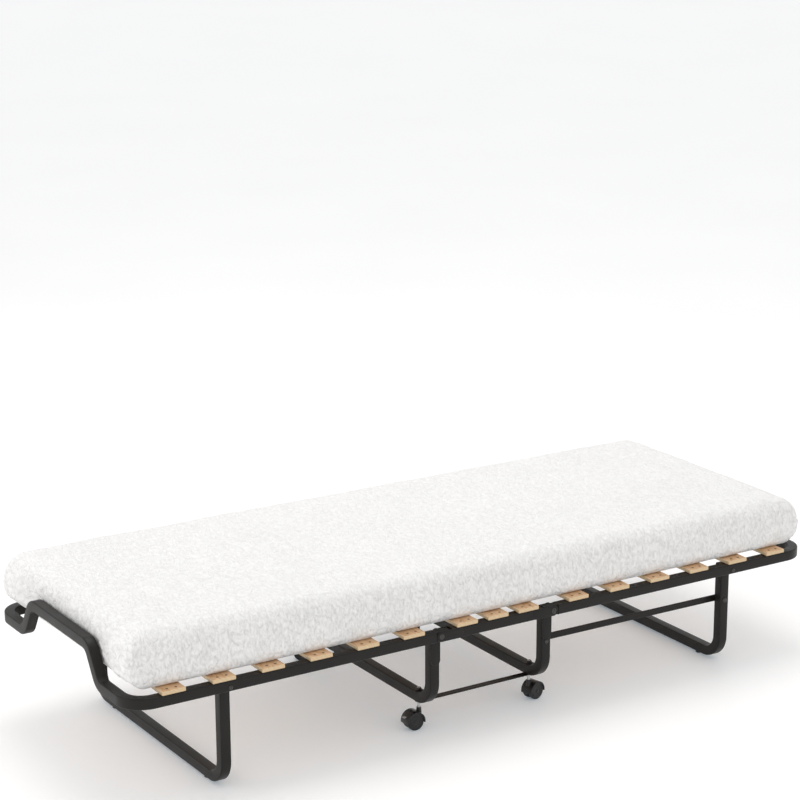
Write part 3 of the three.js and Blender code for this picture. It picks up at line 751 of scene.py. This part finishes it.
# ---- casters, drawn with the stem on Z and the axle along Y ----
def caster(name, turn, at, braked):
    x, z = CASTER_TRAIL, WHEEL_RADIUS
    hood_inner = WHEEL_RADIUS + 1.0
    hood_outer = hood_inner + 2.4
    drop = 0.16
    web = WEB_HALF
    edge = web + WHEEL_WIDTH
    pieces = []

    # hood: a shell over both wheels with a rolled outer edge
    steps = 40
    rim = arc((x, z), hood_outer, -drop, math.pi + drop, steps)
    rim += arc((x, z), hood_inner, math.pi + drop, -drop, steps)
    hood = plate(f"{name}_hood", [rim], 2 * edge, HOUSING, 0.9)
    lips = []
    for side in (-1, 1):
        lip = arc((x, z), hood_outer, -drop, math.pi + drop, steps)
        lip += arc((x, z), hood_inner - 1.6, math.pi + drop, -drop, steps)
        lips.append(plate(f"{name}_lip_{side}", [lip], 1.4, HOUSING, 0.5, level=side * (edge + 0.2)))
    bridge = arc((x, z), hood_outer - 0.8, -drop - 0.1, math.pi + drop + 0.1, steps)
    body = plate(f"{name}_bridge", [bridge], 2 * web, HOUSING, 0.8)
    disc = plate(f"{name}_web", [circle((x, z), WHEEL_RADIUS - 6, 32)], 2 * web - 0.4, HOUSING, 0.6)
    low = BAR_BOTTOM + TUBE + GAP  # underside of the nut
    upright = [
        ("boss", [(0, 40), (7.2, 40), (7.0, 50), (6.4, 53), (6.4, 57.2), (5.6, 58), (0, 58)], HOUSING, 32),
        ("collar", [(0, 58), (5.2, 58), (5.2, 59.2), (0, 59.2)], ZINC, 28),
        ("stem", [(0, 56), (4, 56), (4, low + 8.2), (3.2, low + 9), (0, low + 9)], ZINC, 28),
        ("nut", [(0, low), (7.3, low), (7.5, low + 0.6), (7.5, low + 5.8), (6.8, low + 6.5), (0, low + 6.5)],
         BLACK_ZINC, 6),
        ("washer", [(0, low), (9, low), (9, low + 1.1), (0, low + 1.1)], BLACK_ZINC, 30),
    ]
    turned = [
        lathe(f"{name}_{part}", profile, material, "Z", segments=segments)
        for part, profile, material, segments in upright
    ]
    housing = joined(f"{name}_housing", [hood, *lips, body, disc, *turned])
    pieces.append((housing, "housing"))

    # wheels: a hard disc with a shallow dished face, a groove and a hub button
    for side in (-1, 1):
        inner = web + 0.5
        r = WHEEL_RADIUS
        profile = [
            (0, inner), (r - 2, inner), (r - 0.5, inner + 0.6), (r, inner + 2), (r, edge - 4.5),
            (r - 0.35, edge - 2.6), (r - 1.4, edge - 1.0), (r - 3.2, edge - 0.2), (r - 4.6, edge - 0.1),
            (r - 5.1, edge - 0.9), (r - 5.6, edge - 0.9), (r - 6.1, edge - 0.25), (r - 9, edge - 0.55),
            (8, edge - 1.5), (6.6, edge - 1.7), (6.2, edge - 1.0), (5.4, edge - 0.7), (0, edge - 0.55),
        ]
        profile = [(radius, side * height) for radius, height in profile]
        wheel = lathe(f"{name}_wheel_{'a' if side < 0 else 'b'}", profile, TREAD, at=(x, 0, z), segments=64)
        pieces.append((wheel, "wheels"))
    profile = [(0, -web - 1), (3, -web - 1), (3, web + 1), (0, web + 1)]
    axle = lathe(f"{name}_axle", profile, ZINC, at=(x, 0, z))
    pieces.append((axle, "wheels"))

    if braked:
        pin = (x + 15, z + 13.5)
        tip = x + hood_outer + 3
        outline = arc(pin, 2, math.pi / 2, math.pi * 1.5, 10)
        outline += [(tip - 6, pin[1] - 1.5), (tip - 1, pin[1] - 1.8)]
        outline += arc((tip - 1.2, pin[1]), 1.7, -math.pi / 2, math.pi / 2, 8)
        outline += [(tip - 6, pin[1] + 1.5)]
        pieces.append((plate(f"{name}_lever", [outline], 2 * (web - GAP), GREY, 0.5), "brake"))
    for piece, _ in pieces:
        place(piece, turn, at)
    return pieces


# ---- mattress ----
def spaced(low, high, step):
    count = max(1, round((high - low) / step))
    return [low + (high - low) * k / count for k in range(count)]


def bed_stations():
    """X levels of the mattress's rings; the cuts between its pieces fall on some of them."""
    marks = [-BED_HALF_X, -SLIDE_FINISH, -BEND_FINISH, -BEND_MIDDLE, 0]
    half = []
    for low, high in zip(marks, marks[1:]):
        half += spaced(low, high, GRID)
    return half + [0.0] + [-x for x in reversed(half)]


def smooth_step(value):
    value = np.clip(value, 0, 1)
    return value * value * (3 - 2 * value)


def bed_shape(points):
    """Takes points on a plain box to the mattress's soft shape. Returns places and normals, in mm."""
    x, y, z = points.T
    middle = BED_BOTTOM + 0.47 * (BED_TOP - BED_BOTTOM)
    up = z > middle
    near_end = smooth_step((np.abs(x) - BED_HALF_X + 150) / 90)
    rx = np.where(up, np.where(x > 0, 64.0, 52.0), 42.0)
    ry = np.where(up, 40.0, 24.0)
    rz = np.where(up, 44.0 + 20.0 * near_end, 34.0 + 8.0 * near_end)
    low_z = np.where(up, middle, BED_BOTTOM + rz)
    high_z = np.where(up, BED_TOP - rz, middle)
    core = np.stack([
        np.clip(x, -(BED_HALF_X - rx), BED_HALF_X - rx),
        np.clip(y, -(BED_HALF_Y - ry), BED_HALF_Y - ry),
        np.clip(z, low_z, high_z),
    ], 1)
    radii = np.stack([rx, ry, rz], 1)
    off = (points - core) / radii
    # upright corners are squarer in plan than the long edges are in section
    power = 3.0
    plan = (np.abs(off[:, 0]) ** power + np.abs(off[:, 1]) ** power) ** (1 / power)
    length = np.maximum(np.hypot(plan, off[:, 2]), 1e-9)[:, None]
    unit = off / length
    soft = core + unit * radii
    plan_unit = np.maximum(plan / length[:, 0], 1e-9)[:, None]
    normal = np.concatenate([
        plan_unit ** (2 - power) * np.abs(unit[:, :2]) ** (power - 1) * np.sign(unit[:, :2]),
        unit[:, 2:],
    ], 1) / radii
    normal /= np.maximum(np.linalg.norm(normal, axis=1, keepdims=True), 1e-12)

    # the sides belly out at mid height, the ends too but for the raised bar, and the top is crowned
    height = np.clip((soft[:, 2] - BED_BOTTOM) / (BED_TOP - BED_BOTTOM), 0, 1)
    belly = np.sin(np.pi * height)
    soft[:, 1] += np.sign(soft[:, 1]) * belly * 3.0 * np.abs(normal[:, 1])
    beside_bar = smooth_step((np.abs(soft[:, 1]) - 215) / 80)
    end_push = belly * (-9.0 + (20.0 + 3.0 * (x < 0)) * beside_bar)
    soft[:, 0] += np.sign(soft[:, 0]) * end_push * np.abs(normal[:, 0])
    soft[:, 2] += 3.0 * (1 - (soft[:, 1] / BED_HALF_Y) ** 2) * np.clip(normal[:, 2], 0, 1)
    soft[:, 2] -= 4.0 * height * soft[:, 0] / BED_HALF_X
    return soft, normal


def bed_relief(places, normals):
    """Height along the normal in mm: soft waves, and squiggly sunk lines, deepest on the sides."""
    height = np.zeros(len(places))
    line = np.zeros(len(places))
    for i, (x, y, z) in enumerate(places):
        # the squiggles run round the girth, so they are long in Y and Z and short in X
        warp = 5.0 * noise.noise(Vector((x / 26.0, y / 30.0, z / 30.0 + 5)))
        squiggle = noise.noise(Vector(((x + warp) / 10.0, y / 22.0, z / 24.0)))
        wave = noise.noise(Vector((x / 170.0 + 7, y / 150.0, z / 90.0)))
        dimple = noise.noise(Vector((x / 44.0, y / 50.0 + 3, z / 44.0)))
        line[i] = math.exp(-((squiggle / 0.13) ** 2))
        height[i] = 2.0 * wave + 0.8 * dimple - 0.6
    side = 1 - smooth_step(normals[:, 2] / 0.9)
    height -= (1.2 + 1.1 * side) * line
    # the line mask kept from here only colours the cover: painted shade in the sunk lines, stronger on the
    # sides than on top
    line *= 0.3 + 0.7 * side
    rest = smooth_step((places[:, 2] - BED_BOTTOM - 1.5) / 8)
    return height * rest, line


def build_mattress():
    stations = bed_stations()
    columns_y = len(spaced(-BED_HALF_Y, BED_HALF_Y, GRID))
    columns_z = len(spaced(BED_BOTTOM, BED_TOP, GRID))
    ys = np.linspace(-BED_HALF_Y, BED_HALF_Y, columns_y + 1)
    zs = np.linspace(BED_BOTTOM, BED_TOP, columns_z + 1)
    ring = [(y, zs[0]) for y in ys[:-1]]
    ring += [(ys[-1], z) for z in zs[:-1]]
    ring += [(y, zs[-1]) for y in ys[:0:-1]]
    ring += [(ys[0], z) for z in zs[:0:-1]]
    count = len(ring)

    def ring_index(iy, iz):
        """Where a point of the end grid lies on the ring, or None if it is inside."""
        if iz == 0 and iy < columns_y:
            return iy
        if iy == columns_y and iz < columns_z:
            return columns_y + iz
        if iz == columns_z and iy > 0:
            return columns_y + columns_z + (columns_y - iy)
        if iy == 0:
            return 2 * columns_y + columns_z + (columns_z - iz)
        return None

    flat = [(x, y, z) for x in stations for y, z in ring]
    end_inside = [(iy, iz) for iy in range(1, columns_y) for iz in range(1, columns_z)]
    for x in (stations[0], stations[-1]):
        flat += [(x, ys[iy], zs[iz]) for iy, iz in end_inside]
    places, normals = bed_shape(np.array(flat))
    height, line = bed_relief(places, normals)
    places = places + normals * height[:, None]
    inside_start = len(stations) * count
    inside_number = {key: i for i, key in enumerate(end_inside)}

    def end_faces(right):
        base = (len(stations) - 1) * count if right else 0
        inside = inside_start + (len(end_inside) if right else 0)

        def vertex(iy, iz):
            on_ring = ring_index(iy, iz)
            return base + on_ring if on_ring is not None else inside + inside_number[(iy, iz)]

        faces = []
        for iy in range(columns_y):
            for iz in range(columns_z):
                quad = (vertex(iy, iz), vertex(iy + 1, iz), vertex(iy + 1, iz + 1), vertex(iy, iz + 1))
                faces.append(quad if right else tuple(reversed(quad)))
        return faces

    whole = ring_faces(0, len(stations) - 1, count) + end_faces(False) + end_faces(True)
    quads = np.array(whole)
    corners = places[quads]
    crossed = np.cross(corners[:, 2] - corners[:, 0], corners[:, 3] - corners[:, 1])
    vertex_normals = np.zeros_like(places)
    for k in range(4):
        np.add.at(vertex_normals, quads[:, k], crossed)
    vertex_normals /= np.maximum(np.linalg.norm(vertex_normals, axis=1, keepdims=True), 1e-12)

    def station_of(x):
        return min(range(len(stations)), key=lambda i: abs(stations[i] - x))

    half_cuts = [-BED_HALF_X, -SLIDE_FINISH, -BEND_FINISH, -BEND_MIDDLE]
    cuts = half_cuts + [0] + [-x for x in reversed(half_cuts)]
    parts = ["foot", "slide", "outer_bend", "inner_bend"]
    names = [f"mattress_{part}_left" for part in parts]
    names += [f"mattress_{part}_right" for part in reversed(parts)]
    made = {}
    for name, low, high in zip(names, cuts, cuts[1:]):
        first, last = station_of(low), station_of(high)
        faces = ring_faces(first, last, count)
        if first == 0:
            faces += end_faces(False)
        if last == len(stations) - 1:
            faces += end_faces(True)
        surface_count = len(faces)
        if first > 0:
            faces.append(tuple(first * count + k for k in reversed(range(count))))
        if last < len(stations) - 1:
            faces.append(tuple(last * count + k for k in range(count)))
        used = sorted({i for face in faces for i in face})
        renumber = {old: new for new, old in enumerate(used)}
        mesh = bpy.data.meshes.new(name)
        mesh.from_pydata(
            [tuple(MM * value for value in places[i]) for i in used], [],
            [tuple(renumber[i] for i in face) for face in faces])
        mesh.materials.append(KNIT)
        # sunk_line tells the knit where to paint shade into the sunk lines, and where to roughen them
        sunk = mesh.attributes.new("sunk_line", "FLOAT", "POINT")
        sunk.data.foreach_set("value", [line[i] for i in used])
        mesh.update()
        smooth = np.ones(len(faces), dtype=bool)
        smooth[surface_count:] = False
        mesh.polygons.foreach_set("use_smooth", smooth)
        mesh.normals_split_custom_set_from_vertices([tuple(vertex_normals[i]) for i in used])
        piece = bpy.data.objects.new(name, mesh)
        bpy.context.scene.collection.objects.link(piece)
        made[name] = piece
    return made


# ---- camera, light and floor ----
def make_camera():
    """A long lens, above the bed and to the left of its near side."""
    pixels = 800
    focal, sensor = 2323.2, 36
    centre_x, centre_y = 396.6, 445.5
    yaw, pitch, roll = 0.5603, 0.2840, -0.0047
    forward = Vector((math.cos(pitch) * math.sin(yaw), math.cos(pitch) * math.cos(yaw), -math.sin(pitch)))
    right = forward.cross(Vector((0, 0, 1))).normalized()
    up = right.cross(forward)
    right_turned = right * math.cos(roll) + up * math.sin(roll)
    up_turned = up * math.cos(roll) - right * math.sin(roll)
    data = bpy.data.cameras.new("camera")
    data.sensor_width = sensor
    data.lens = focal / pixels * sensor
    data.shift_x = (pixels / 2 - centre_x) / pixels
    data.shift_y = (centre_y - pixels / 2) / pixels
    data.clip_end = 100
    made = bpy.data.objects.new("camera", data)
    axes = Matrix((right_turned, up_turned, -forward)).transposed().to_4x4()
    made.matrix_world = Matrix.Translation((-3.1949, -4.9981, 2.3975)) @ axes
    bpy.context.scene.collection.objects.link(made)
    bpy.context.scene.camera = made


def area_light(name, at, target, size, power):
    data = bpy.data.lights.new(name, "AREA")
    data.shape = "DISK"
    data.size = size
    data.energy = power
    made = bpy.data.objects.new(name, data)
    made.location = at
    made.rotation_euler = (Vector(target) - Vector(at)).to_track_quat("-Z", "Y").to_euler()
    bpy.context.scene.collection.objects.link(made)


def make_studio():
    world = bpy.data.worlds.new("studio")
    world.use_nodes = True
    world.node_tree.nodes["Background"].inputs["Color"].default_value = (1, 1, 1, 1)
    world.node_tree.nodes["Background"].inputs["Strength"].default_value = 0.86
    bpy.context.scene.world = world
    area_light("key", (0.3, 0.9, 4.8), (0, 0, 0.2), 3.0, 58)
    area_light("fill", (-4.2, 0.3, 1.9), (-0.6, 0, 0.2), 2.0, 20)
    size = 40
    mesh = bpy.data.meshes.new("floor")
    corners = [(-size, -size, 0), (size, -size, 0), (size, size, 0), (-size, size, 0)]
    mesh.from_pydata(corners, [], [(0, 1, 2, 3)])
    mesh.materials.append(floor_paint())
    floor = bpy.data.objects.new("floor", mesh)
    bpy.context.scene.collection.objects.link(floor)
    bpy.context.scene.view_settings.view_transform = "Standard"


# ---- put the bed together ----
def settle(piece, body, slot, *nodes):
    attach(piece, body)
    if nodes:
        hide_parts(*nodes)


def build_half(label, near, far, caster_turns, braked):
    turn = math.pi if label == "left" else 0.0

    def add(piece, body, slot, *nodes):
        place(piece, turn)
        settle(piece, body, slot, *nodes)

    section = f"section_{label}"
    leg_body = f"end_leg_{label}"
    bar, plates = centre_rail(near)
    add(bar, "frame_base", "frame", f"centre_rail_{near}")
    bar, extras = centre_leg(label)
    add(bar, "frame_base", "frame", f"centre_leg_{label}")
    for piece in plates + extras:
        add(piece, "frame_base", "black_plastic" if "plug" in piece.name else "frame")
    add(leg_strap(near), "frame_base", "frame", f"leg_strap_{near}")

    for side, where in ((-1, near), (1, far)):
        head = side * (HALF_WIDTH + GAP)
        nut = side * (LEG_FACE - 0.8)
        name = f"fold_bolt_{label}_{where}"
        add(bolt(name + "_fine", PIVOT_X, PIVOT_Z, 4, head, nut, 7.5), "frame_base", "fasteners", name)
        name = f"leg_pivot_bolt_{label}_{where}"
        nut = side * LINK_FACE
        add(bolt(name + "_fine", SWING_X, SWING_Z, 3, head, nut, 6), section, "fasteners", name)
        name = f"glide_{label}_{where}"
        add(glide(name + "_fine", side * GLIDE_Y), leg_body, "black_plastic", name)

    head, nut = -LEG_FACE - GAP, -LINK_FACE + LINK_THICK + GAP
    name = f"tie_bolt_inner_{label}"
    add(bolt(name + "_fine", PIVOT_X, PIVOT_Z - LINK_DROP, 3, head, nut, 6), "frame_base", "fasteners", name)
    name = f"tie_bolt_outer_{label}"
    add(bolt(name + "_fine", SWING_X, SWING_Z - LINK_DROP, 3, head, nut, 7.2), leg_body, "fasteners", name)
    link_body = f"tie_bar_{label}"
    add(tie_bar(label + "_fine"), link_body, "frame", link_body)

    bar, tongues = section_frame(label)
    add(bar, section, "frame", f"section_frame_{label}")
    for piece in tongues:
        add(piece, section, "frame")
    bar, plugs = end_leg(label)
    add(bar, leg_body, "frame", f"end_leg_{label}")
    for piece in plugs:
        add(piece, leg_body, "black_plastic")
    for i in range(SLATS_PER_SECTION):
        name = f"slat_{label}_{i + 1}"
        number = i * 2 + (3 if label == "left" else 0)
        board, rivets = slat(name + "_board", SLAT_FIRST + i * SLAT_STEP, BIRCHES[number % len(BIRCHES)])
        add(board, section, "slats", name)
        for rivet in rivets:
            add(rivet, section, "fasteners")

    for side, where, angle in ((-1, near, caster_turns[0]), (1, far, caster_turns[1])):
        name = f"{label}_{where}"
        at = (PIVOT_X, side * CASTER_Y, 0)
        for piece, kind in caster(f"caster_{name}", math.radians(angle), at, braked):
            if kind == "housing":
                add(piece, f"caster_swivel_{name}", "black_plastic", f"caster_housing_{name}")
            elif kind == "brake":
                add(piece, f"brake_{name}", "grey_plastic", f"brake_lever_{name}")
            elif piece.name.endswith("wheel_a"):
                add(piece, f"caster_wheels_{name}", "wheels", f"caster_wheels_{name}")
            else:
                add(piece, f"caster_wheels_{name}", "wheels")


def build_centre_slats():
    for i in (-1, 0, 1):
        name = f"slat_centre_{i + 2}"
        board, rivets = slat(name + "_board", i * SLAT_STEP_CENTRE, BIRCHES[(i + 4) % len(BIRCHES)])
        settle(board, "frame_base", "slats", name)
        for rivet in rivets:
            settle(rivet, "frame_base", "fasteners")


def hang_mattress():
    made = build_mattress()
    for label, sign in (("left", -1), ("right", 1)):
        inner = made[f"mattress_inner_bend_{label}"]
        outer = made[f"mattress_outer_bend_{label}"]
        slide = made[f"mattress_slide_{label}"]
        foot = made[f"mattress_foot_{label}"]
        long_body = f"mattress_long_{label}"
        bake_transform(inner)
        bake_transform(outer)
        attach(slide, long_body)
        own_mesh(slide)
        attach(foot, f"section_{label}")
        if label == "right":
            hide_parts("mattress_centre")
        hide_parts(f"mattress_bend_{label}")
        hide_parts(f"mattress_long_{label}")
        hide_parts(f"mattress_end_{label}")


make_camera()
make_studio()
build_half("right", "near", "far", (12.5, 55), False)
build_half("left", "far", "near", (-35, -2), True)
build_centre_slats()
hang_mattress()
